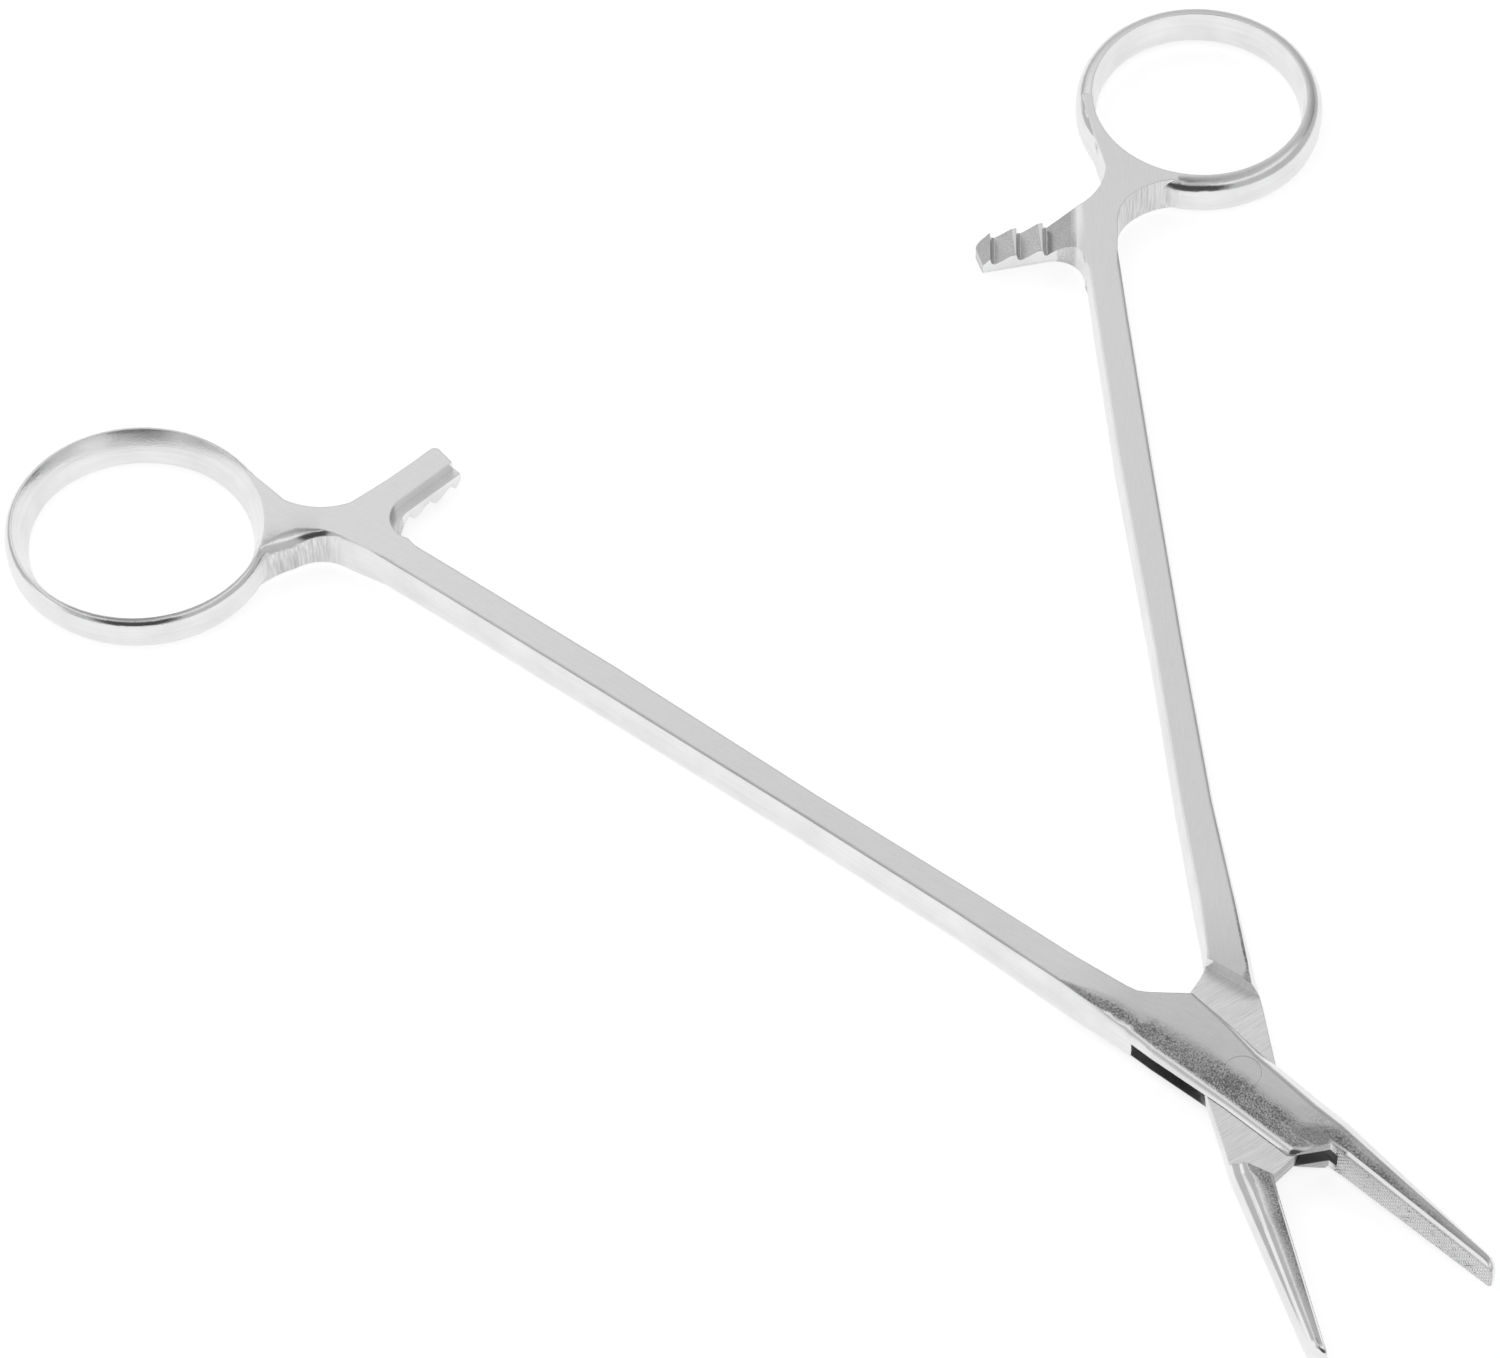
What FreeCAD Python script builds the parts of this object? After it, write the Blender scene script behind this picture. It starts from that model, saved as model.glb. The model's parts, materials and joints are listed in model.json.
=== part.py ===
import FreeCAD, Part
import Sketcher
import math
import os

from FreeCAD import Placement, Rotation, Vector

# Surgical needle holder: two crossed halves and the rivet of their box lock.
# Each half is drawn in its own frame: pivot at the origin, jaw along +X, ring centre on -X,
# +Y towards the other half and the underside of the box at Z = 0. The tongue half is the same
# forging drawn with Y turned round. The halves are then swung apart by the opening of the photo.

os.makedirs("parts", exist_ok=True)
doc = FreeCAD.newDocument("needle_holder")
sheet = doc.addObject("Spreadsheet::Sheet", "Sizes")

DIMENSIONS = {
    "ring_pitch": 136.0,        # pivot to ring centre
    "rest_opening": 29.2,       # half the angle between the halves as they lie, degrees
    "closed_opening": 12.5,     # half that angle with the jaws shut, degrees
    "box_thick": 5.3,
    "handle_thick": 4.5,
    "tip_thick": 3.9,
    "jaw_reach": 31.6,          # pivot to jaw tip
    "jaw_root": 11.3,           # pivot to where the grip face begins
    "grip_gap": 0.03,           # each grip face off the centre plane when shut
    "cheek_corner_along": 8.0,
    "cheek_corner_across": 5.5,
    "flare_start": 13.8,        # pivot back to where the shank widens into the box
    "flare_end": 9.0,
    "flare_width": 5.65,        # inner corner of the box above the pivot line
    "slot_height": 1.85,
    "tongue_play": 0.05,        # above and below the tongue in the slot
    "shoulder_play": 0.25,      # between a shoulder and the edge it shuts against
    "slot_relief": 0.9,         # extra length of the slot behind the shut tongue
    "jaw_crown_share": 0.57,    # share of the jaw's top that falls to the grip face
    "grip_bevel_height": 0.30,  # polished bevel along the edges of the grip face
    "grip_bevel_width": 0.20,
    "rivet_radius": 1.6,
    "rivet_head_radius": 1.9,
    "rivet_head_depth": 0.6,
    "rivet_press": 0.005,
    "rivet_play": 0.05,
    "hole_along": 12.43,        # half the finger hole along the shank
    "hole_across": 11.75,
    "ring_wall": 2.33,          # radial width of the ring
    "ring_bevel": 1.48,         # width of the hole bevel on the rounded face
    "ring_land": 0.50,          # width of the bevel on the flat face
    "arm_reach": 25.6,          # tip of the ratchet arm above the pivot line
    "arm_plate": 3.3,           # width of the arm's plate along the shank
    "rib_step": 1.0,            # how far the toothed rib stands out of the plate
    "plate_depth": 1.3,
    "tooth_crest": 1.4,         # depth of the tooth crests below the far face
    "tooth_height": 0.95,
    "tooth_pitch": 2.95,
    "tooth_land": 0.6,
    "first_crest": 24.05,       # first tooth above the pivot line
    "tip_bevel": 2.0,
}
TOOTH_COUNT = 3
DRAWN_PITCH = 136.0             # the sizes that the tables of stations below are drawn for
DRAWN_BOX = 5.3
DRAWN_HOLE = 12.43
for row, (alias, value) in enumerate(DIMENSIONS.items(), start=1):
    sheet.set("A%d" % row, alias)
    sheet.set("B%d" % row, str(value))
    sheet.setAlias("B%d" % row, alias)
doc.recompute()


def size(alias):
    return float(sheet.get(alias))


BOX = size("box_thick")
MID = BOX / 2
HANDLE = size("handle_thick")
PITCH = size("ring_pitch")
SHUT = math.radians(size("closed_opening"))
GRIP_SLOPE = math.tan(SHUT)
SHANK_SCALE = PITCH / DRAWN_PITCH
BOX_SCALE = BOX / DRAWN_BOX
NECK_SCALE = size("hole_along") / DRAWN_HOLE


def grip_y(x):
    """The grip face: shut, it lies a hair off the centre plane through the pivot."""
    return -GRIP_SLOPE * x + size("grip_gap") / math.cos(SHUT)


def flare_foot():
    """Inner edge of the shank where the flare begins, just short of the centre plane when shut."""
    short = 0.12
    return GRIP_SLOPE * size("flare_start") - short


def section(row, side):
    """Section of the forging: flats top and bottom, rounded down to a crease on the inner side
    and falling in a crown to the outer edge, with barrel walls between them."""
    x, inner, outer, inner_bulge, outer_bulge, thick, crown, drop, shoulder, fall = row
    top = thick / 2
    halfway, rise = 0.5, 0.25
    upper = [
        (inner, top - fall),
        (inner - halfway * shoulder, top - rise * fall),
        (inner - shoulder, top),
        (outer + crown, top),
        (outer + halfway * crown, top - rise * drop),
        (outer, top - drop),
    ]
    above = [Vector(x, side * y, MID + z) for y, z in upper]
    below = [Vector(x, side * y, MID - z) for y, z in upper]
    outer_swell = Vector(x, side * (outer - outer_bulge), MID)
    inner_swell = Vector(x, side * (inner + inner_bulge), MID)
    edges = [
        Part.Arc(above[0], above[1], above[2]).toShape(),
        Part.LineSegment(above[2], above[3]).toShape(),
        Part.Arc(above[3], above[4], above[5]).toShape(),
        Part.Arc(above[5], outer_swell, below[5]).toShape(),
        Part.Arc(below[5], below[4], below[3]).toShape(),
        Part.LineSegment(below[3], below[2]).toShape(),
        Part.Arc(below[2], below[1], below[0]).toShape(),
        Part.Arc(below[0], inner_swell, above[0]).toShape(),
    ]
    return Part.Wire(edges)


def shank_stations(side):
    """Shank, from the neck of the ring to the start of the flare. The edges fall towards the
    pivot as fractions of the ring pitch, and the shank is slimmest a third of the way back.
    Only the box half is crowned where the flare begins."""
    start = size("flare_start")
    shank_taper = [
        # fraction of the pitch, inner edge, outer edge, thickness, side bulge
        (0.84, 13.55, 10.10, HANDLE, 0.15),
        (0.75, 12.45, 9.02, HANDLE, 0.35),
        (0.60, 10.50, 7.03, HANDLE - 0.05, 0.38),
        (0.40, 7.27, 4.24, HANDLE - 0.10, 0.40),
        (0.25, 5.15, 1.92, HANDLE, 0.42),
        (0.155, 3.55, 0.02, (HANDLE + BOX) / 2, 0.50),
    ]
    crown, drop = 0.40, 0.10
    shoulder, fall = 0.25, 0.04
    rows = []
    for fraction, inner, outer, thick, bulge in shank_taper:
        x = -fraction * PITCH
        inner, outer = inner * SHANK_SCALE, outer * SHANK_SCALE
        rows.append((x, inner, outer, bulge, bulge, thick, crown, drop, shoulder, fall))
    outer = -0.95 * BOX_SCALE
    if side > 0:
        crown, drop = 2.2, 0.50
    last = shank_taper[-1]
    back = (last[1] * SHANK_SCALE - flare_foot()) / (last[0] * PITCH - start)
    ahead = (size("flare_width") - flare_foot()) / (start - size("flare_end"))
    leg, lift = 1.1, 0.15
    thick = BOX - 0.1
    for step, inner in (
        (-leg, flare_foot() + leg * back),
        (0.0, flare_foot() + lift),
        (leg, flare_foot() + leg * ahead),
    ):
        lower = outer - 0.14 * step * BOX_SCALE
        row = (step - start, inner, lower, 0.10, 0.70, thick, crown, drop, shoulder, fall)
        rows.append(row)
    return rows


def box_stations():
    """Box, from the flare to the corner of the cheeks."""
    swell = 1.4
    corner = size("cheek_corner_along")
    corner_top = swell - size("cheek_corner_across")
    wide = size("flare_width")
    half_back = -0.45 * size("flare_end")
    return [
        # x, inner edge, outer edge, inner bulge, outer bulge, thickness, crown, its fall,
        # shoulder, its fall
        (-size("flare_end"), wide, -1.60 * BOX_SCALE, 0.22, 0.95, BOX, 2.9, 0.72, 0.3, 0.05),
        (half_back, 0.785 * wide, -2.15 * BOX_SCALE, 0.60, 1.15, BOX, 3.1, 0.82, 0.7, 0.30),
        (0.0, 0.545 * wide, -2.65 * BOX_SCALE, 1.00, 1.25, BOX, 2.9, 0.85, 1.0, 0.52),
        (corner, 0.21 * wide, corner_top, 1.00, swell, BOX - 0.1, 2.4, 0.85, 1.4, 0.90),
    ]


def jaw_stations():
    """Jaw: an upright back below a rounded shoulder, a top that falls to the grip face, and a
    nose rounded by a quarter turn. The outer edge lies beyond the grip face, which is cut
    afterwards."""
    root, reach = size("jaw_root"), size("jaw_reach")
    beyond = 0.9
    nose = 1.5
    nose_start = reach - nose
    root_width, nose_width, end_width = 3.95, 1.90, 0.5
    root_thick = BOX - 0.15
    end_thick = 1.7
    rows = []

    def row(x, width, thick, drop, fall):
        bulge = 0.25 * width
        top = width - bulge
        shoulder = 0.42 * top
        crown = beyond + size("jaw_crown_share") * (top - 0.2 * shoulder)
        crown = min(crown, beyond + 0.95 * (top - shoulder))
        inner, outer = grip_y(x) + top, grip_y(x) - beyond
        return (x, inner, outer, bulge, 0.5, thick, crown, drop, shoulder, fall)

    for share in (0.0, 0.35, 0.7, 1.0):
        x = root + share * (nose_start - root)
        width = root_width + share * (nose_width - root_width)
        thick = root_thick + share * (size("tip_thick") - root_thick)
        rows.append(row(x, width, thick, 0.95, 1.05 - 0.35 * share))
    steps = 4
    last_turn = math.radians(80.0)
    for step in range(1, steps + 1):
        turn = last_turn * step / steps
        x = nose_start + nose * math.sin(turn) / math.sin(last_turn)
        fall = (1 - math.cos(turn)) / (1 - math.cos(last_turn))
        width = nose_width - (nose_width - end_width) * fall
        thick = size("tip_thick") - (size("tip_thick") - end_thick) * fall
        rows.append(row(x, width, thick, 0.95 - 0.40 * fall, 0.70 - 0.30 * fall))
    return rows


def feature(name, shape):
    made = doc.addObject("Part::Feature", name)
    made.Shape = shape
    return made


def prism(points, low, high, side):
    """Upright prism on a plan outline, from low to high."""
    corners = [Vector(x, side * y, low) for x, y in points]
    base = Part.Face(Part.makePolygon(corners + corners[:1]))
    return base.extrude(Vector(0, 0, high - low))


def forging(name, side):
    """Shank, box and jaw in one ruled skin through the stations."""
    rows = shank_stations(side) + box_stations() + jaw_stations()
    wires = [section(row, side) for row in rows]
    skin = Part.makeLoft(wires, True, True)
    return feature(name, skin)


def grip_cut(name, side):
    """What lies beyond the grip face and the slanted ends of the cheeks."""
    root = size("jaw_root")
    far = size("jaw_reach") + 5
    corner = (size("cheek_corner_along"), -size("cheek_corner_across") - 0.05)
    lead = 3.0
    slant = (corner[1] - grip_y(root)) / (corner[0] - root)
    outline = [
        (root, grip_y(root)),
        (far, grip_y(far)),
        (far, grip_y(far) - 12),
        (corner[0] - lead, corner[1] - lead * slant - 8),
        (corner[0] - lead, corner[1] - lead * slant),
    ]
    return feature(name, prism(outline, -1, BOX + 1, side))


def grip_bevel(name, way, side):
    """Polished bevel along the upper (way 1) or lower (way -1) edge of the grip face: a wedge
    that follows the edge from the root of the jaw to its nose."""
    high, wide = size("grip_bevel_height"), size("grip_bevel_width")
    spots = [
        # x, height of the crown's edge above the middle
        (size("jaw_root"), BOX / 2 - 0.55),
        (size("jaw_reach"), size("tip_thick") / 2 - 0.36),
    ]
    reach = 3.0
    slope = (spots[1][1] - spots[0][1]) / (spots[1][0] - spots[0][0])
    wires = []
    for x, grown in ((spots[0][0] - 0.2, 0.2), (spots[0][0] + 2.0, 1.0), (spots[1][0] + 1.0, 1.0)):
        edge = spots[0][1] + slope * (x - spots[0][0]) - grown * high
        foot = (grip_y(x) - reach * wide, edge - reach * high)
        head = (grip_y(x) + reach * wide, edge + reach * high)
        corners = [foot, head, (foot[0], head[1])]
        corners = [Vector(x, side * y, MID + way * z) for y, z in corners]
        wires.append(Part.makePolygon(corners + corners[:1]))
    return feature(name, Part.makeLoft(wires, True, True))


def root_facet(name, side):
    """Flat facet ground on the root of the tongue half's jaw, beside the front shoulder."""
    root = size("jaw_root")
    tip = root + 4.0
    top = BOX / 2
    corners = [
        (root - 1.5, 1.1, top - 0.15),
        (root, grip_y(root) - 0.4, top - 0.80),
        (tip, grip_y(tip) - 0.1, top - 0.62),
    ]
    corners = [Vector(x, side * y, MID + z) for x, y, z in corners]
    base = Part.Face(Part.makePolygon(corners + corners[:1]))
    return feature(name, base.extrude(Vector(0, 0, BOX)))


def handle_top(face_up):
    """Lowest and highest Z of the handle, and the direction from its worked face to the other."""
    low, high = MID - HANDLE / 2, MID + HANDLE / 2
    return (high, -1) if face_up else (low, 1)


def ellipse_wire(offset, z, side):
    along = size("hole_along") + offset
    across = size("hole_across") + offset
    oval = Part.Ellipse(Vector(0, 0, 0), along, across)
    oval.Center = Vector(-PITCH, 0, z)
    return Part.Wire(oval.toShape())


def stack(levels, face_up, side):
    """Ruled skin through ovals. Each level is an offset from the hole and a depth, as a share
    of the handle's thickness."""
    face, way = handle_top(face_up)
    wires = [ellipse_wire(offset, face + way * share * HANDLE, side) for offset, share in levels]
    return Part.makeLoft(wires, True, True)


def rounding(crease, wall, start, depth):
    """Levels of a quarter oval from the crease of a face out to the ring's wall."""
    steps = 4
    levels = []
    for step in range(steps + 1):
        turn = math.radians(90.0 * step / steps)
        offset = crease + (wall - crease) * math.sin(turn)
        levels.append((offset, start + depth * (1 - math.cos(turn))))
    return levels


def ring_outside(name, face_up, side):
    """Outer skin of the ring. One face is creased at its wide bevel, the other is a rounded
    band."""
    wall, bevel = size("ring_wall"), size("ring_bevel")
    far_crease = size("ring_land") + 0.35
    upper, lower = (bevel, far_crease) if face_up else (far_crease, bevel)
    levels = rounding(upper, wall, 0.0, 0.42)
    levels += reversed(rounding(lower, wall, 1.0, -0.40))
    return feature(name, stack(levels, True, side))


def ring_hole(name, face_up, side):
    """Rounded face: a wide bevel over an upright land. Flat face: a narrow bevel."""
    bevel, land = size("ring_bevel"), size("ring_land")
    if face_up:
        levels = [(bevel - 0.02, -0.02), (land, 0.43), (0.0, 0.86), (land, 1.02)]
    else:
        levels = [(land + 0.02, -0.02), (0.18, 0.33), (0.0, 0.84), (bevel - 0.6, 1.02)]
    return feature(name, stack(levels, True, side))


def smooth_outline(parts, z, side):
    """Closed plan wire from lines (two points) and arcs (three points) that join end to end."""
    edges = []
    for points in parts:
        spots = [Vector(x, side * y, z) for x, y in points]
        if len(spots) == 2:
            edges.append(Part.LineSegment(spots[0], spots[1]).toShape())
        else:
            edges.append(Part.Arc(spots[0], spots[1], spots[2]).toShape())
    return Part.Wire(edges)


def neck_parts(jaw_side_step, lean):
    """Neck of the ring and ratchet arm, drawn from the ring's centre. jaw_side_step moves the
    arm's edge on the jaw side. lean, from 0 to 1, moves the wall between ring and shank out."""
    reach = size("arm_reach") / NECK_SCALE
    arm_front = 19.35 + size("arm_plate") / NECK_SCALE + jaw_side_step
    start = (20.8, 9.95 - 0.4 * lean)
    hip = (14.9 + 0.8 * lean, 8.4 - 2.0 * lean)
    heel = (13.3 + 0.5 * lean, 3.4 - 1.2 * lean)
    parts = [
        [(0, 13.4), (6.2, 12.15), (11.5, 10.9)],
        [(11.5, 10.9), (15.3, 12.0), (17.8, 14.3)],
        [(17.8, 14.3), (19.25, 18.8), (20.8, reach - 0.5)],
        [(20.8, reach - 0.5), (21.1, reach - 0.1), (21.7, reach)],
        [(21.7, reach), (arm_front + 1.2, reach - 0.75)],
        [(arm_front + 1.2, reach - 0.75), (arm_front - 0.55, 17.3)],
        [(arm_front - 0.55, 17.3), (arm_front - 0.15, 15.1), (26.0, 13.45)],
        [(26.0, 13.45), (28.5, 12.6)],
        [(28.5, 12.6), (28.5, 10.05)],
        [(28.5, 10.05), start],
        [start, (17.3 + 0.3 * lean, 9.6 - 0.8 * lean), hip],
        [hip, (13.75 + 0.8 * lean, 6.4 - 1.9 * lean), heel],
        [heel, (0, 0)],
        [(0, 0), (0, 13.4)],
    ]
    return [[(x * NECK_SCALE - PITCH, y * NECK_SCALE) for x, y in points] for points in parts]


def arm_profile():
    """Toothed side of the arm as distance above the pivot line and depth from the flat face:
    a scoop down from the neck, the teeth with steep faces to the neck, and the bevelled tip."""
    crest, height = size("tooth_crest"), size("tooth_height")
    valley = crest + height
    first, pitch = size("first_crest"), size("tooth_pitch")
    last = first - (TOOTH_COUNT - 1) * pitch
    start = 14.3 * NECK_SCALE
    undercut, fillet, hollow = 0.2, 0.3, 0.12
    points = [(start, -1.0), (start, 0.0), (last - undercut - fillet, valley)]
    points.append((last - undercut, valley - fillet / 2))
    for tooth in range(TOOTH_COUNT - 1, 0, -1):
        edge = first - tooth * pitch
        land = edge + size("tooth_land")
        foot = edge + pitch - undercut
        points.append((edge, crest))
        points.append((land, crest))
        points.append(((land + foot) / 2, (crest + valley) / 2 + hollow))
        points.append((foot - fillet, valley))
        points.append((foot, valley - fillet / 2))
    bevel = size("tip_bevel")
    points.append((first, crest))
    points.append((first + bevel, crest + bevel))
    points.append((first + bevel + 3, crest + bevel + 3))
    points.append((first + bevel + 3, -1.0))
    return points


def neck(name, face_up, side):
    """Neck and arm: a plate and a wider toothed rib under the arm. The box half's plate swells
    out below its worked face into a bead beside the ring, the other's wall is upright."""
    face, way = handle_top(face_up)
    bead = [(0.0, 0.50), (0.5, 0.58), (1.0, 0.50)]
    if face_up:
        bead = [(0.0, 0.0), (0.05, 0.33), (0.15, 0.62), (0.30, 0.84), (0.55, 1.0), (1.0, 0.95)]
    wires = [
        smooth_outline(neck_parts(0.0, lean), face + way * share * HANDLE, side)
        for share, lean in bead
    ]
    plate = Part.makeLoft(wires, True, True)
    outline = neck_parts(size("rib_step"), bead[0][1])
    outline = smooth_outline(outline, face + way * HANDLE, side)
    rib = Part.Face(outline).extrude(Vector(0, 0, way * (size("plate_depth") - HANDLE)))
    return feature(name, plate.fuse(rib).removeSplitter())


def tooth_cut(name, face_up, side):
    """Prism along the shank under (or over) the toothed side of the arm."""
    face, way = handle_top(not face_up)
    ring = -PITCH
    corners = [Vector(ring + 12, side * y, face + way * depth) for y, depth in arm_profile()]
    base = Part.Face(Part.makePolygon(corners + corners[:1]))
    return feature(name, base.extrude(Vector(16, 0, 0)))


def across_pivot(point):
    """A point of one half as it lies on the other half with the jaws shut."""
    turn = 2 * SHUT
    x, y = point
    return (x * math.cos(turn) - y * math.sin(turn), -x * math.sin(turn) - y * math.cos(turn))


def set_back(first, second, play):
    """The line through two points moved away from the pivot by play, drawn long."""
    dx, dy = second[0] - first[0], second[1] - first[1]
    length = math.hypot(dx, dy)
    dx, dy = dx / length, dy / length
    nx, ny = dy, -dx
    if nx * first[0] + ny * first[1] < 0:
        nx, ny = -nx, -ny
    reach = 12.0
    return [
        (first[0] + nx * play - dx * reach, first[1] + ny * play - dy * reach),
        (second[0] + nx * play + dx * reach, second[1] + ny * play + dy * reach),
    ]


def lock_outline(rear_play, front_play):
    """Plan area between the two lines that the other half's box outline shuts against."""
    flare = [(-size("flare_start"), flare_foot()), (-size("flare_end"), size("flare_width"))]
    cheek = [
        (size("cheek_corner_along"), -size("cheek_corner_across")),
        (size("jaw_root"), grip_y(size("jaw_root"))),
    ]
    rear = set_back(across_pivot(flare[0]), across_pivot(flare[1]), rear_play)
    front = set_back(across_pivot(cheek[0]), across_pivot(cheek[1]), front_play)
    if rear[0][1] < rear[1][1]:
        rear.reverse()
    if front[0][1] > front[1][1]:
        front.reverse()
    return rear + front


def slot(name, side):
    """Slot through the box half for the tongue."""
    half = size("slot_height") / 2
    play = size("shoulder_play")
    outline = lock_outline(play + size("slot_relief"), play + 0.6)
    return feature(name, prism(outline, MID - half, MID + half, side))


def recess(name, low, high, side):
    """Step in one face of the tongue half, between its two shoulders."""
    play = size("shoulder_play")
    return feature(name, prism(lock_outline(play, play), low, high, side))


def boolean(kind, name, base, tool):
    made = doc.addObject("Part::" + kind, name)
    made.Base = base
    made.Tool = tool
    return made


def bore(name, play):
    """Straight rivet bore through the whole box."""
    hole = doc.addObject("Part::Cylinder", name)
    hole.setExpression("Radius", "Sizes.rivet_radius + Sizes." + play)
    hole.setExpression("Height", "Sizes.box_thick + 2")
    hole.Placement = Placement(Vector(0, 0, -1), Rotation())
    return hole


def countersink(name, top):
    """Conical seat of a closed rivet head in one face of the box."""
    cone = doc.addObject("Part::Cone", name)
    wide, narrow = ("Radius2", "Radius1") if top else ("Radius1", "Radius2")
    cone.setExpression(wide, "Sizes.rivet_head_radius + Sizes.rivet_press")
    cone.setExpression(narrow, "Sizes.rivet_radius + Sizes.rivet_press")
    cone.setExpression("Height", "Sizes.rivet_head_depth")
    if top:
        cone.setExpression("Placement.Base.z", "Sizes.box_thick - Sizes.rivet_head_depth")
    return cone


def half(prefix, face_up, side):
    """Rough half before the lock is cut: forging, neck, ring and ratchet arm."""
    body = forging(prefix + "_forging", side)
    body = boolean("Cut", prefix + "_jaw", body, grip_cut(prefix + "_grip_cut", side))
    for edge, way in (("upper", 1), ("lower", -1)):
        wedge = grip_bevel(prefix + "_bevel_" + edge, way, side)
        body = boolean("Cut", prefix + "_jaw_" + edge, body, wedge)
    arm = neck(prefix + "_neck", face_up, side)
    arm = boolean("Cut", prefix + "_arm", arm, tooth_cut(prefix + "_tooth_cut", face_up, side))
    body = boolean("Fuse", prefix + "_shank", body, arm)
    body = boolean("Fuse", prefix + "_loop", body, ring_outside(prefix + "_ring", face_up, side))
    return boolean("Cut", prefix + "_blank", body, ring_hole(prefix + "_hole", face_up, side))


def box_half():
    """Female half: the slot, and the rivet's bore with a seat for each head."""
    body = half("box", True, 1)
    body = boolean("Cut", "box_slotted", body, slot("box_slot", 1))
    body = boolean("Cut", "box_bored", body, bore("box_bore", "rivet_press"))
    body = boolean("Cut", "box_seat_low", body, countersink("seat_low", False))
    return boolean("Cut", "box_half", body, countersink("seat_high", True))


def tongue_half():
    """Male half: stepped down on both faces to the tongue that fills the slot."""
    tongue = size("slot_height") / 2 - size("tongue_play")
    body = half("tongue", False, -1)
    body = boolean("Cut", "tongue_ground", body, root_facet("tongue_facet", -1))
    body = boolean("Cut", "tongue_under", body, recess("recess_low", -1, MID - tongue, -1))
    body = boolean("Cut", "tongue_over", body, recess("recess_high", MID + tongue, BOX + 1, -1))
    return boolean("Cut", "tongue_half", body, bore("tongue_bore", "rivet_play"))


def rivet_form():
    """Turned rivet: a shank with a head closed into each seat, before it is ground flush."""
    body = doc.addObject("PartDesign::Body", "rivet_blank")
    plane = [item for item in body.Origin.OriginFeatures if item.Role == "XZ_Plane"][0]
    outline = body.newObject("Sketcher::SketchObject", "rivet_outline")
    outline.AttachmentSupport = [(plane, "")]
    outline.MapMode = "FlatFace"
    spots = [
        ("0", "0"),
        ("Sizes.rivet_head_radius", "0"),
        ("Sizes.rivet_radius", "Sizes.rivet_head_depth"),
        ("Sizes.rivet_radius", "Sizes.box_thick - Sizes.rivet_head_depth"),
        ("Sizes.rivet_head_radius", "Sizes.box_thick"),
        ("0", "Sizes.box_thick"),
    ]
    guess = [(0, 0), (2, 0), (1.5, 1), (1.5, 4), (2, 5), (0, 5)]
    count = len(spots)
    for index in range(count):
        start, end = guess[index], guess[(index + 1) % count]
        outline.addGeometry(Part.LineSegment(Vector(*start, 0), Vector(*end, 0)), False)
    for index in range(count):
        outline.addConstraint(Sketcher.Constraint("Coincident", index, 2, (index + 1) % count, 1))
    for index, (across, up) in enumerate(spots):
        for kind, amount, value in (("DistanceX", across, guess[index][0]),
                                    ("DistanceY", up, guess[index][1])):
            number = outline.addConstraint(Sketcher.Constraint(kind, -1, 1, index, 1, value))
            outline.setExpression("Constraints[%d]" % number, amount)
    turned = body.newObject("PartDesign::Revolution", "rivet_turned")
    turned.Profile = outline
    turned.ReferenceAxis = (outline, ["V_Axis"])
    turned.Angle = 360
    body.Tip = turned
    return body


def rivet():
    """The heads are ground to the crowned faces of the box."""
    return boolean("Common", "rivet", rivet_form(), forging("rivet_envelope", 1))


pieces = {"box_half": box_half(), "tongue_half": tongue_half(), "rivet": rivet()}
swing = {"box_half": 1, "tongue_half": -1, "rivet": 1}
for name, piece in pieces.items():
    piece.Label = name
    turn = "Sizes.rest_opening" if swing[name] > 0 else "-Sizes.rest_opening"
    piece.Placement = Placement(Vector(0, 0, 0), Rotation(Vector(0, 0, 1), 1))
    piece.setExpression("Placement.Rotation.Angle", turn)
doc.recompute()

for item in doc.Objects:
    if "Invalid" in item.State or "Error" in item.State:
        raise RuntimeError("%s did not build: %s" % (item.Label, item.State))
for name, piece in pieces.items():
    shape = piece.Shape
    if shape.isNull() or not shape.isValid():
        raise RuntimeError("%s has no valid shape" % name)
    print("%-12s solids %d  volume %.1f mm3  faces %d" % (
        name, len(shape.Solids), shape.Volume, len(shape.Faces)))
for name, piece in pieces.items():
    piece.Shape.exportStep("parts/%s.step" % name)
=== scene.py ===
import json
import math
from types import SimpleNamespace

import bpy
from mathutils import Matrix, Vector

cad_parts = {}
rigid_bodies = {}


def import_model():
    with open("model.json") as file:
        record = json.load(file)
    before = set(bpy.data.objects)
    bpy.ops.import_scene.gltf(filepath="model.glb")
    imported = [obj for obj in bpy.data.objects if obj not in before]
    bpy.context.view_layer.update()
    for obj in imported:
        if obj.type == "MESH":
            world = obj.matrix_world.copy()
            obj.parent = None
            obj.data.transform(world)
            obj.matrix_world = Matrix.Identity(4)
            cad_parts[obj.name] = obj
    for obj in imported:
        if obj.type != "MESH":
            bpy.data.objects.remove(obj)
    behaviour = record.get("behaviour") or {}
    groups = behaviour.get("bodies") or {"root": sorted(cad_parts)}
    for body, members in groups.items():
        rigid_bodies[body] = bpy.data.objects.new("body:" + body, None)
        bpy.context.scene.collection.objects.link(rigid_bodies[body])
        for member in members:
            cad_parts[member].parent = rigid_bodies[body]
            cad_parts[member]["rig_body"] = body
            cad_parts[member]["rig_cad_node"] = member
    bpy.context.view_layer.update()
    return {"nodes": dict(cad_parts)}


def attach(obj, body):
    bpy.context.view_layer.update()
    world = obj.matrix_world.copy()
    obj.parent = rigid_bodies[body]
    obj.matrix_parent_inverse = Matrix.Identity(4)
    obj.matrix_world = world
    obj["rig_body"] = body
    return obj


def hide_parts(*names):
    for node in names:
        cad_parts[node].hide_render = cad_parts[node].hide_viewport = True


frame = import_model()

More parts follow.
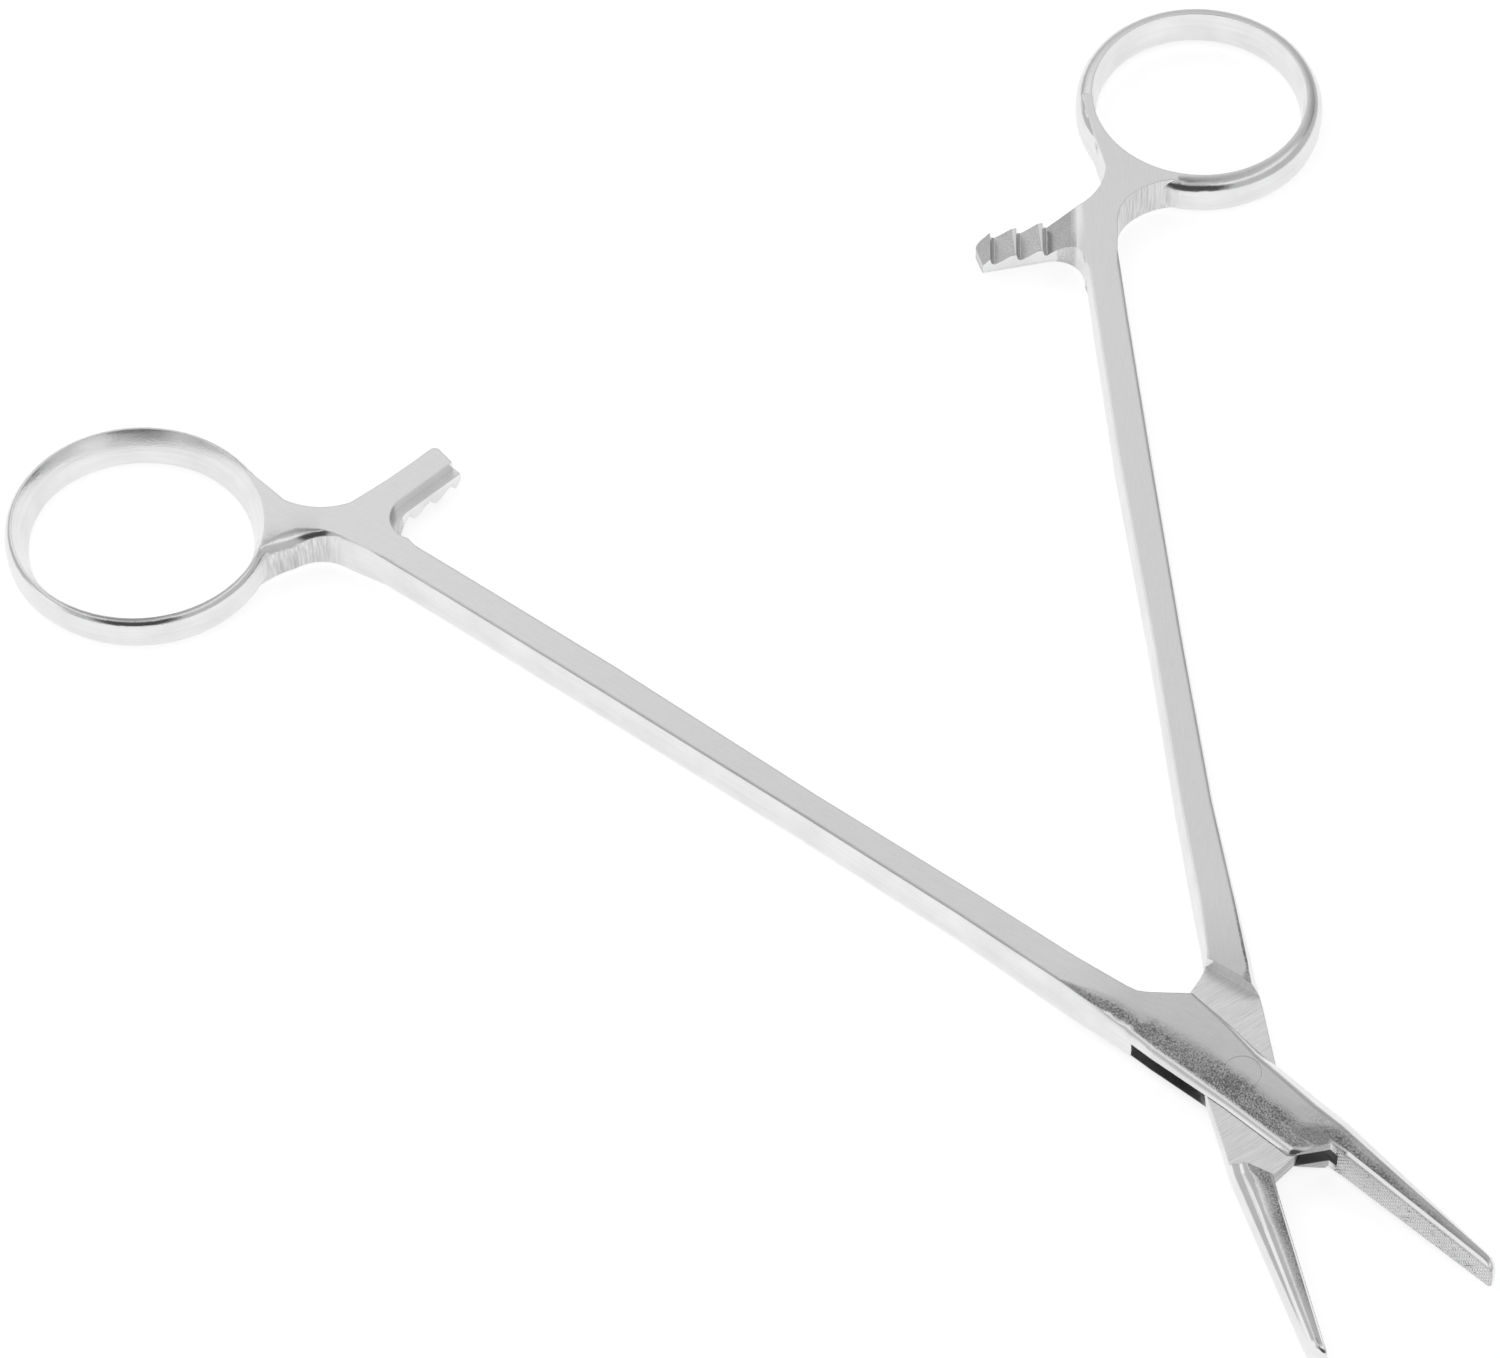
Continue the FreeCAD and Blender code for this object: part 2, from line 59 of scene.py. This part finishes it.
bl_info = {
    "name": "Needle holder",
    "version": (1, 0, 0),
    "blender": (4, 5, 0),
    "location": "View3D > Sidebar > Needle holder",
    "description": "Dresses the two forged halves and the rivet of a box-lock needle holder",
    "category": "Object",
}

MM = 0.001
REST_TURN = math.radians(29.2)      # each half off the centre line as it lies
GRIP_TURN = math.radians(12.5)      # grip face off its own half's line
JAW_ROOT = 11.3                     # pivot to where the grip face begins
JAW_REACH = 31.6
TONGUE_GRIND = math.radians(-54.5)  # grinding marks of the tongue, along its rear shoulder
GRIP_OFFSET = 0.03                  # the grip face beyond the line through the pivot
MID_HEIGHT = 2.65                   # middle of the box above the table
SIDES = {"box_half": 1, "tongue_half": -1}

# where each finish, and the painted shade of the slot and of the crown band, begins and ends along
# a half, in millimetres from the pivot towards the tip
RING_FADE = (-119.0, -123.0)
NECK_SPAN = (-122.5, -117.0)
TEETH_SPAN = (-124.0, -108.0)
BOX_BAND_FADE = (-24.0, -15.0)
BOX_TOP_FADE = (-24.0, -12.0)
SLOT_SPAN = (-20.0, 13.0)
TONGUE_SPAN = (-14.0, 12.0)
CHEEK_SPAN = (5.0, 12.5)
JAW_FADE = (5.0, 14.0)
JAW_BAND_FADE = (30.5, 24.0)
# and across it, towards the other half
NECK_SIDE = (3.0, 11.5)
TEETH_SIDE = (14.2, 14.8)
JAW_BAND_START = (0.28, 0.50)       # from the grip face
JAW_BAND_END = (2.7, 0.7)
JAW_TAPER = 0.075                   # the jaw's band grows narrower by this share of its length
TONGUE_TOP = (MID_HEIGHT + 0.6, MID_HEIGHT + 1.1)

FLOOR_SIZE = 6.0
FLOOR_DROP = 0.05 * MM              # the object lies this far above the floor
FLOOR_TONE = 0.55
FLOOR_GLOW = 0.68
FLOOR_REFLECTED = 0.9               # share of the glow that the steel sees
FLOOR_FADE = (0.15, 0.60)           # distances at which the steel sees it end, in metres
LAMP_PLACE = (0.10, -0.25, 0.80)
LAMP_SIZE = 0.5
LAMP_POWER = 1.0
TENT_TONE = 0.55
# parts of the studio as the object sees them: direction, cosines of the edge and of the full
# part, and what it adds to the tent
STUDIO_PARTS = {
    "white card on the left": ((-0.73, -0.15, 0.67), (0.90, 0.97), 0.35),
    "white card low in front": ((-0.18, -0.97, 0.12), (0.93, 0.985), 0.50),
    "dark overhead": ((-0.08, -0.25, 0.965), (0.87, 0.96), -0.28),
    "dark behind the camera": ((0.76, -0.51, 0.40), (0.83, 0.92), -0.48),
    "dark on the right": ((-0.25, 0.74, 0.62), (0.92, 0.98), -0.34),
}
CAMERA_PLACE = (0.25635, -0.18180, 0.45439)
CAMERA_ANGLES = (38.8888, 1.1244, 61.9340)      # XYZ turn, degrees
CAMERA_LENS = 132.49
SENSOR_WIDTH = 36.0


class Value:
    """A number that varies over a surface. Arithmetic on it adds Math nodes."""

    def __init__(self, finish, socket):
        self.finish = finish
        self.socket = socket

    def __add__(self, other):
        return self.finish.math("ADD", self, other)

    def __radd__(self, other):
        return self.finish.math("ADD", other, self)

    def __sub__(self, other):
        return self.finish.math("SUBTRACT", self, other)

    def __rsub__(self, other):
        return self.finish.math("SUBTRACT", other, self)

    def __mul__(self, other):
        return self.finish.math("MULTIPLY", self, other)

    def __rmul__(self, other):
        return self.finish.math("MULTIPLY", other, self)

    def __abs__(self):
        return self.finish.math("ABSOLUTE", self)


class Finish:
    """Builds the node tree of one material or of the world."""

    def __init__(self, tree):
        tree.nodes.clear()
        self.tree = tree

    def node(self, kind, settings=None, **sockets):
        made = self.tree.nodes.new(kind)
        for name, value in (settings or {}).items():
            setattr(made, name, value)
        for name, value in sockets.items():
            label = name.replace("_", " ")
            socket = made.inputs[int(name[1:])] if name[1:].isdigit() else made.inputs[label]
            self.feed(socket, value)
        return made

    def feed(self, socket, value):
        if isinstance(value, Value):
            value = value.socket
        if isinstance(value, bpy.types.NodeSocket):
            self.tree.links.new(value, socket)
        else:
            socket.default_value = value

    def math(self, operation, first, second=0.0):
        made = self.node("ShaderNodeMath", {"operation": operation}, i0=first, i1=second)
        return Value(self, made.outputs[0])

    def ramp(self, value, low, high, start=0.0, end=1.0):
        """Smooth step from start to end as value goes from low to high."""
        made = self.node(
            "ShaderNodeMapRange", {"interpolation_type": "SMOOTHSTEP"},
            Value=value, From_Min=low, From_Max=high, To_Min=start, To_Max=end,
        )
        return Value(self, made.outputs["Result"])

    def band(self, value, low, high, soft):
        """1 between low and high, fading to 0 over soft on both sides."""
        return self.ramp(value, low - soft, low + soft) * self.ramp(value, high + soft, high - soft)

    def mix(self, factor, first, second):
        made = self.node("ShaderNodeMix", {"data_type": "RGBA"}, Factor=factor, i6=first, i7=second)
        return made.outputs[2]

    def noise(self, vector, scale, detail=2.0, roughness=0.5):
        made = self.node(
            "ShaderNodeTexNoise", Vector=vector, Scale=scale, Detail=detail, Roughness=roughness,
        )
        return Value(self, made.outputs[0])

    def stretch(self, vector, scale):
        made = self.node("ShaderNodeMapping", {"vector_type": "POINT"}, Vector=vector, Scale=scale)
        return made.outputs[0]

    def split(self, vector):
        made = self.node("ShaderNodeSeparateXYZ", Vector=vector)
        return [Value(self, socket) for socket in made.outputs]

    def tone(self, pattern, middle, spread):
        """Grey that follows a pattern, from middle - spread to middle + spread."""
        return self.mix(pattern, grey(middle - spread), grey(middle + spread))


def grey(level):
    return (level, level, level * 1.005, 1.0)


def own_frame(finish, side):
    """Place in millimetres and surface direction in the half's own frame: the pivot at the
    origin, the jaw along +X and the other half on the +Y side."""
    coords = finish.node("ShaderNodeTexCoord")
    place = finish.node(
        "ShaderNodeMapping", {"vector_type": "POINT"}, Vector=coords.outputs["Object"],
        Scale=(1 / MM, side / MM, 1 / MM), Rotation=(0.0, 0.0, -REST_TURN),
    )
    facing = finish.node(
        "ShaderNodeMapping", {"vector_type": "POINT"}, Vector=coords.outputs["Normal"],
        Scale=(1, side, 1), Rotation=(0.0, 0.0, -REST_TURN),
    )
    return place.outputs[0], facing.outputs[0]


def steel_marks(finish, place):
    """The marks that cover the steel, each varying around one half."""
    turned = finish.node(
        "ShaderNodeMapping", {"vector_type": "TEXTURE"}, Vector=place,
        Rotation=(0.0, 0.0, -TONGUE_GRIND),
    )
    ground = finish.stretch(place, (0.45, 7.0, 7.0))
    polished = finish.stretch(place, (0.10, 0.10, 2.4))
    wheeled = finish.stretch(place, (3.4, 3.4, 0.25))
    brushed = finish.stretch(turned.outputs[0], (0.35, 7.0, 1.0))
    return SimpleNamespace(
        cloud=finish.noise(place, 0.22, 3.0, 0.55),
        grain=finish.noise(ground, 1.0, 3.0, 0.6),
        speck=finish.noise(place, 5.5, 2.0, 0.6),
        peel=finish.noise(place, 5.4, 2.0, 0.55),
        drawn=finish.noise(polished, 1.0, 2.0, 0.5),
        wheel=finish.noise(wheeled, 1.0, 2.0, 0.6),
        brushed=finish.noise(brushed, 1.0, 3.0, 0.6),
    )


def steel_zones(finish, place, facing, cloud):
    """Where each finish lies on a half, and where shade is painted in the slot and along the crown
    band, as masks from 0 to 1.
    """
    x, y, z = finish.split(place)
    nx, ny, nz = finish.split(facing)
    upright = abs(nz)
    ragged = (cloud - 0.5) * 0.03
    tilt = upright + ragged
    flat = finish.ramp(upright, 0.84, 0.95)
    wall = finish.ramp(upright, 0.55, 0.30)

    tongue = finish.band(z, *TONGUE_TOP, 0.1) * flat * finish.band(x, *TONGUE_SPAN, 2.0)
    # crown band of the box: real orange-peel relief and roughness, and a darker grey that is partly
    # painted shade for the dark reflection of the crown tilted towards the camera
    box_peel_and_shade = finish.ramp(tilt, 1.005, 0.972) * finish.ramp(tilt, 0.80, 0.90)
    box_peel_and_shade = box_peel_and_shade * finish.ramp(ny, 0.0, -0.10) * finish.ramp(x, *BOX_BAND_FADE)
    grip_line = y + x * math.tan(GRIP_TURN)
    beyond = grip_line + ragged * 20 + (x - JAW_ROOT) * JAW_TAPER
    # the jaw's band beside the grip face: real orange-peel relief, and a darker grey that is partly
    # painted shade for the dark reflection where the rounded top turns
    jaw_peel_and_shade = finish.ramp(grip_line, *JAW_BAND_START) * finish.ramp(beyond, *JAW_BAND_END)
    jaw_peel_and_shade = jaw_peel_and_shade * finish.ramp(upright, 0.55, 0.75) * finish.ramp(x, *JAW_BAND_FADE)
    on_jaw = finish.ramp(x, *JAW_FADE)
    grip = finish.ramp(grip_line, 0.22, 0.12) * finish.ramp(x, JAW_ROOT, JAW_ROOT + 0.6)
    teeth = finish.band(x, *TEETH_SPAN, 0.5) * finish.ramp(y, *TEETH_SIDE)
    towards_middle = (z - MID_HEIGHT) * nz
    return SimpleNamespace(
        flat=flat,
        wall=wall,
        tongue=tongue,
        box_top=flat * finish.ramp(x, *BOX_TOP_FADE),
        crown=box_peel_and_shade * (1 - on_jaw) + jaw_peel_and_shade * (1 - tongue) * on_jaw,
        grip=grip * finish.ramp(ny, -0.6, -0.8),
        cheek_end=finish.ramp(nx, 0.35, 0.6) * finish.band(x, *CHEEK_SPAN, 0.5),
        # painted shade: faces inside the slot, turned towards the middle of the box, are painted
        # darker
        slot=finish.ramp(towards_middle, -0.4, -0.7) * finish.band(x, *SLOT_SPAN, 1.0),
        teeth=teeth * finish.ramp(ny, 0.03, 0.12),
        neck=finish.band(x, *NECK_SPAN, 1.5) * wall * finish.band(y, *NECK_SIDE, 1.5),
        ring=finish.ramp(x, *RING_FADE),
    )


def steel_colour(finish, zones, marks, sizes):
    """Grey of the steel: satin flats and polished sides, then the smaller finishes over them, with
    painted shade in the slot and partly painted shade along the crown band.
    """
    ground = marks.grain * 0.45 + marks.speck * 0.3 + marks.cloud * 0.25
    uneven = finish.ramp(marks.peel * 0.7 + marks.cloud * 0.3, 0.36, 0.64)
    mottled = marks.speck * 0.6 + marks.cloud * 0.4
    polished = marks.drawn * 0.35 + marks.cloud * 0.65
    layers = (
        (zones.flat, ground, sizes.satin, 0.16),
        (zones.box_top, ground, sizes.satin - 0.10, 0.16),
        (zones.tongue, marks.brushed, sizes.satin + 0.06, 0.24),
        (zones.neck, marks.wheel, sizes.polish - 0.16, 0.34),
        # crown band: real orange-peel pattern, its darker grey partly painted shade for the crown's
        # dark reflection
        (zones.crown, uneven, sizes.crown_peel_and_shade, 0.24),
        (zones.teeth, mottled, 0.60, 0.42),
        (zones.cheek_end, marks.drawn * 0.5 + marks.speck * 0.5, 0.46, 0.30),
        (zones.grip, mottled, 0.66, 0.34),
        # painted shade inside the slot
        (zones.slot, marks.drawn, 0.50, 0.10),
    )
    colour = finish.tone(polished, sizes.polish, 0.16)
    for mask, pattern, middle, spread in layers:
        colour = finish.mix(mask, colour, finish.tone(pattern, middle, spread))
    return colour


def steel_roughness(finish, zones, marks):
    rough = finish.ramp(zones.flat, 0.0, 1.0, 0.15, 0.33) + (marks.grain - 0.5) * 0.10
    rough = rough + zones.crown * 0.04 + zones.grip * 0.20 + zones.teeth * 0.1
    return rough + (marks.cloud - 0.5) * 0.08


def steel_relief(zones, marks):
    """Height of the finest marks: grinding, orange peel, specks and wheel marks."""
    relief = marks.grain * zones.flat * 0.6
    relief = relief + marks.peel * (zones.crown * 2.2 + zones.ring * 0.5 + 0.25)
    relief = relief + marks.speck * (0.2 + zones.grip * 0.8)
    relief = relief + marks.brushed * zones.tongue * 1.2 + marks.wheel * zones.neck * 1.6
    return relief + marks.drawn * zones.wall * 0.5


def forged_steel(name, side, sizes):
    """Steel of one half: satin flats with fine grinding, polished sides, an uneven band along the
    crown of box and jaw, its dark grey partly painted shade for the dark reflection there, painted
    shade inside the slot, and matt cross-cut grips."""
    material = bpy.data.materials.new(name)
    material.use_nodes = True
    finish = Finish(material.node_tree)
    place, facing = own_frame(finish, side)
    marks = steel_marks(finish, place)
    zones = steel_zones(finish, place, facing, marks.cloud)
    worn = finish.node("ShaderNodeBevel", {"samples": 6}, Radius=sizes.edge_radius)
    bump = finish.node(
        "ShaderNodeBump", Strength=0.4, Distance=0.04 * MM,
        Height=steel_relief(zones, marks), Normal=worn.outputs[0],
    )
    shader = finish.node(
        "ShaderNodeBsdfPrincipled", Metallic=1.0, Normal=bump.outputs[0],
        Base_Color=steel_colour(finish, zones, marks, sizes),
        Roughness=steel_roughness(finish, zones, marks),
    )
    finish.node("ShaderNodeOutputMaterial", Surface=shader.outputs[0])
    return material


def select_only(piece):
    bpy.ops.object.select_all(action="DESELECT")
    piece.select_set(True)
    bpy.context.view_layer.objects.active = piece


def apply(piece, kind, name, **settings):
    """Adds one modifier, sets it and applies it."""
    select_only(piece)
    bpy.ops.object.modifier_add(type=kind)
    modifier = piece.modifiers[-1]
    modifier.name = name
    for key, value in settings.items():
        setattr(modifier, key, value)
    bpy.ops.object.modifier_apply(modifier=name)


def forging_copy(node, name):
    """The CAD node's skin as a piece of its own, with its loose triangles joined into faces."""
    source = frame["nodes"][node]
    select_only(source)
    bpy.ops.object.duplicate()
    piece = bpy.context.object
    piece.name = name
    piece.data.name = name
    piece.parent = None
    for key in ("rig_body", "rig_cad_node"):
        if key in piece:
            del piece[key]
    bpy.ops.object.mode_set(mode="EDIT")
    bpy.ops.mesh.select_all(action="SELECT")
    bpy.ops.mesh.remove_doubles(threshold=2e-6)
    bpy.ops.mesh.customdata_custom_splitnormals_clear()
    bpy.ops.object.mode_set(mode="OBJECT")
    return piece


def groove_set(side, lean, sizes):
    """Row of parallel three-sided bars laid across the grip face, to be cut out of it."""
    lead = 3.0              # the row begins this far before the grip face and ends as far past it
    bar_length = 9.0
    first_groove = 0.7      # grooves are kept this far off the jaw's root
    pitch = sizes.groove_pitch * math.sqrt(2)
    turn = side * (REST_TURN - GRIP_TURN)
    along = Vector((math.cos(turn), math.sin(turn), 0.0))
    outward = Vector((math.sin(turn), -math.cos(turn), 0.0)) * side
    start_mm = (JAW_ROOT + 0.4) / math.cos(GRIP_TURN) - lead
    start = along * (start_mm * MM) - outward * (GRIP_OFFSET * MM)
    start.z = MID_HEIGHT * MM
    length_mm = (JAW_REACH - JAW_ROOT) / math.cos(GRIP_TURN) + 2 * lead
    count = int(length_mm * MM / pitch)
    bpy.ops.object.select_all(action="DESELECT")
    bpy.ops.mesh.primitive_cylinder_add(
        vertices=3, radius=sizes.groove_depth * 2, depth=bar_length * MM, location=(0, 0, 0),
    )
    bar = bpy.context.object
    bar.name = "groove_bar"
    # the bar's edge points into the jaw, and the bar leans over the face
    axis = along * math.sin(lean) + Vector((0, 0, 1)) * math.cos(lean)
    inward = -outward
    across = inward.cross(axis)
    turned = Matrix((across, inward, axis)).transposed().to_4x4()
    bar.data.transform(turned)
    bar.data.transform(Matrix.Translation(start + outward * sizes.groove_depth))
    apply(
        bar, "ARRAY", "bars", count=count, use_relative_offset=False,
        use_constant_offset=True, constant_offset_displace=along * pitch,
    )
    select_only(bar)
    bpy.ops.object.mode_set(mode="EDIT")
    bpy.ops.mesh.select_all(action="SELECT")
    root = along * ((JAW_ROOT + first_groove) / math.cos(GRIP_TURN) * MM)
    bpy.ops.mesh.bisect(plane_co=root, plane_no=along, use_fill=True, clear_inner=True)
    bpy.ops.mesh.select_all(action="SELECT")
    bpy.ops.mesh.normals_make_consistent(inside=False)
    bpy.ops.object.mode_set(mode="OBJECT")
    return bar


def cut_grip(piece, side, sizes):
    """Cross-cut serrations: two sets of grooves in the grip face."""
    for lean in (math.radians(45), math.radians(-45)):      # off the upright, both ways
        bars = groove_set(side, lean, sizes)
        apply(piece, "BOOLEAN", "grooves", operation="DIFFERENCE", object=bars, solver="EXACT")
        bpy.data.objects.remove(bars)


def finish_piece(piece, node, body, material):
    select_only(piece)
    bpy.ops.object.shade_smooth_by_angle(angle=math.radians(38))
    apply(piece, "WEIGHTED_NORMAL", "even_shading", keep_sharp=True, weight=60)
    piece.data.materials.clear()
    piece.data.materials.append(material)
    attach(piece, body)
    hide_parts(node)


class NeedleHolderSizes(bpy.types.PropertyGroup):
    """Sizes and tones that a user would change."""

    edge_radius: bpy.props.FloatProperty(
        name="Edge softness", description="Width of the worn edge between two faces",
        default=0.00013, min=0.0, subtype="DISTANCE", unit="LENGTH",
    )
    groove_pitch: bpy.props.FloatProperty(
        name="Groove pitch", description="Distance between the cross-cut grooves of the jaws",
        default=0.00040, min=0.0001, subtype="DISTANCE", unit="LENGTH",
    )
    groove_depth: bpy.props.FloatProperty(
        name="Groove depth", description="Depth of the cross-cut grooves",
        default=0.00010, min=0.00002, subtype="DISTANCE", unit="LENGTH",
    )
    satin: bpy.props.FloatProperty(
        name="Satin tone", description="Grey of the ground flats", default=0.82, min=0, max=1,
        subtype="FACTOR",
    )
    polish: bpy.props.FloatProperty(
        name="Polished tone", description="Grey of the polished sides", default=0.84, min=0,
        max=0.95, subtype="FACTOR",
    )
    # grey of the crown band: its uneven surface is real, its darkness partly painted shade for the
    # dark reflection of the tilted crown
    crown_peel_and_shade: bpy.props.FloatProperty(
        name="Shoulder tone", description="Grey of the uneven band along the box", default=0.46,
        min=0.2, max=0.8, subtype="FACTOR",
    )


class NEEDLEHOLDER_OT_halves(bpy.types.Operator):
    """Make the female and the male half with worn edges and cross-cut grips"""

    bl_idname = "needleholder.halves"
    bl_label = "Forged halves"

    def execute(self, context):
        sizes = context.scene.needle_holder
        for node, body in (("box_half", "box_side"), ("tongue_half", "tongue_side")):
            side = SIDES[node]
            piece = forging_copy(node, node + "_forging")
            cut_grip(piece, side, sizes)
            steel = forged_steel(node + "_steel", side, sizes)
            finish_piece(piece, node, body, steel)
        return {"FINISHED"}


class NEEDLEHOLDER_OT_rivet(bpy.types.Operator):
    """Make the rivet that joins the halves, ground flush with the box"""

    bl_idname = "needleholder.rivet"
    bl_label = "Lock rivet"

    def execute(self, context):
        sizes = context.scene.needle_holder
        piece = forging_copy("rivet", "lock_rivet")
        steel = forged_steel("rivet_steel", SIDES["box_half"], sizes)
        finish_piece(piece, "rivet", "box_side", steel)
        return {"FINISHED"}


class NEEDLEHOLDER_OT_stage(bpy.types.Operator):
    """Make the pale floor, the soft studio light and the camera"""

    bl_idname = "needleholder.stage"
    bl_label = "Stage"

    def execute(self, context):
        pale_floor()
        studio_light(context.scene)
        photo_camera(context.scene)
        return {"FINISHED"}


def pale_floor():
    """White to the camera, with the soft shadow; the steel sees it grow darker far away."""
    bpy.ops.object.select_all(action="DESELECT")
    bpy.ops.mesh.primitive_plane_add(size=FLOOR_SIZE, location=(0, 0, -FLOOR_DROP))
    floor = bpy.context.object
    floor.name = "floor"
    material = bpy.data.materials.new("floor_white")
    material.use_nodes = True
    finish = Finish(material.node_tree)
    coords = finish.node("ShaderNodeTexCoord")
    spread = finish.node(
        "ShaderNodeVectorMath", {"operation": "LENGTH"}, i0=coords.outputs["Object"],
    )
    away = finish.ramp(Value(finish, spread.outputs["Value"]), *FLOOR_FADE)
    rays = finish.node("ShaderNodeLightPath")
    camera = Value(finish, rays.outputs["Is Camera Ray"])
    reflected = Value(finish, rays.outputs["Is Glossy Ray"]) * (1 - away) * FLOOR_REFLECTED
    matt = finish.node("ShaderNodeBsdfDiffuse", Color=grey(FLOOR_TONE))
    glow = (camera + reflected) * FLOOR_GLOW
    lift = finish.node("ShaderNodeEmission", Color=glow, Strength=1.0)
    both = finish.node("ShaderNodeAddShader", i0=matt.outputs[0], i1=lift.outputs[0])
    finish.node("ShaderNodeOutputMaterial", Surface=both.outputs[0])
    floor.data.materials.append(material)


def towards(direction, across, along, height):
    """How near a ray lies to a direction: 1 along it."""
    x, y, z = direction
    return across * x + along * y + height * z


def studio_light(scene):
    """Pale tent with a white ring two thirds up, the cards and dark places around it, and one
    large soft lamp. The camera sees white behind the object."""
    world = bpy.data.worlds.new("studio")
    scene.world = world
    world.use_nodes = True
    finish = Finish(world.node_tree)
    coords = finish.node("ShaderNodeTexCoord")
    sky = finish.split(coords.outputs["Generated"])
    height = sky[2]
    ring = finish.ramp(height, 0.56, 0.70) * 0.42 - finish.ramp(height, 0.74, 0.88) * 0.45
    tent = TENT_TONE + ring
    for direction, (edge, full), change in STUDIO_PARTS.values():
        tent = tent + finish.ramp(towards(direction, *sky), edge, full) * change
    rays = finish.node("ShaderNodeLightPath")
    camera = Value(finish, rays.outputs["Is Camera Ray"])
    level = tent * (1 - camera) + camera
    back = finish.node("ShaderNodeBackground", Color=level, Strength=1.0)
    finish.node("ShaderNodeOutputWorld", Surface=back.outputs[0])

    bpy.ops.object.light_add(type="AREA", location=LAMP_PLACE)
    lamp = bpy.context.object
    lamp.name = "soft_box"
    lamp.data.shape = "SQUARE"
    lamp.data.size = LAMP_SIZE
    lamp.data.energy = LAMP_POWER
    lamp.visible_glossy = False
    lamp.rotation_mode = "QUATERNION"
    lamp.rotation_quaternion = (-lamp.location).to_track_quat("-Z", "Y")


def photo_camera(scene):
    bpy.ops.object.camera_add(location=CAMERA_PLACE)
    camera = bpy.context.object
    camera.name = "photo_camera"
    camera.rotation_euler = [math.radians(angle) for angle in CAMERA_ANGLES]
    camera.data.sensor_fit = "HORIZONTAL"
    camera.data.sensor_width = SENSOR_WIDTH
    camera.data.lens = CAMERA_LENS
    camera.data.clip_start = 0.01
    camera.data.clip_end = 20.0
    scene.camera = camera


class NEEDLEHOLDER_PT_panel(bpy.types.Panel):
    """Lists the sizes and the operators"""

    bl_idname = "NEEDLEHOLDER_PT_panel"
    bl_label = "Needle holder"
    bl_space_type = "VIEW_3D"
    bl_region_type = "UI"
    bl_category = "Needle holder"

    def draw(self, context):
        sizes = context.scene.needle_holder
        for name in sizes.bl_rna.properties.keys():
            if name not in ("name", "rna_type"):
                self.layout.prop(sizes, name)
        for operator in OPERATORS:
            self.layout.operator(operator.bl_idname)


OPERATORS = (NEEDLEHOLDER_OT_halves, NEEDLEHOLDER_OT_rivet, NEEDLEHOLDER_OT_stage)
CLASSES = (NeedleHolderSizes, *OPERATORS, NEEDLEHOLDER_PT_panel)


def register():
    for cls in CLASSES:
        bpy.utils.register_class(cls)
    bpy.types.Scene.needle_holder = bpy.props.PointerProperty(type=NeedleHolderSizes)


def unregister():
    del bpy.types.Scene.needle_holder
    for cls in reversed(CLASSES):
        bpy.utils.unregister_class(cls)


def main():
    register()
    scene = bpy.context.scene
    scene.view_settings.view_transform = "Standard"
    bpy.ops.needleholder.halves()
    bpy.ops.needleholder.rivet()
    bpy.ops.needleholder.stage()


if __name__ == "__main__":
    main()
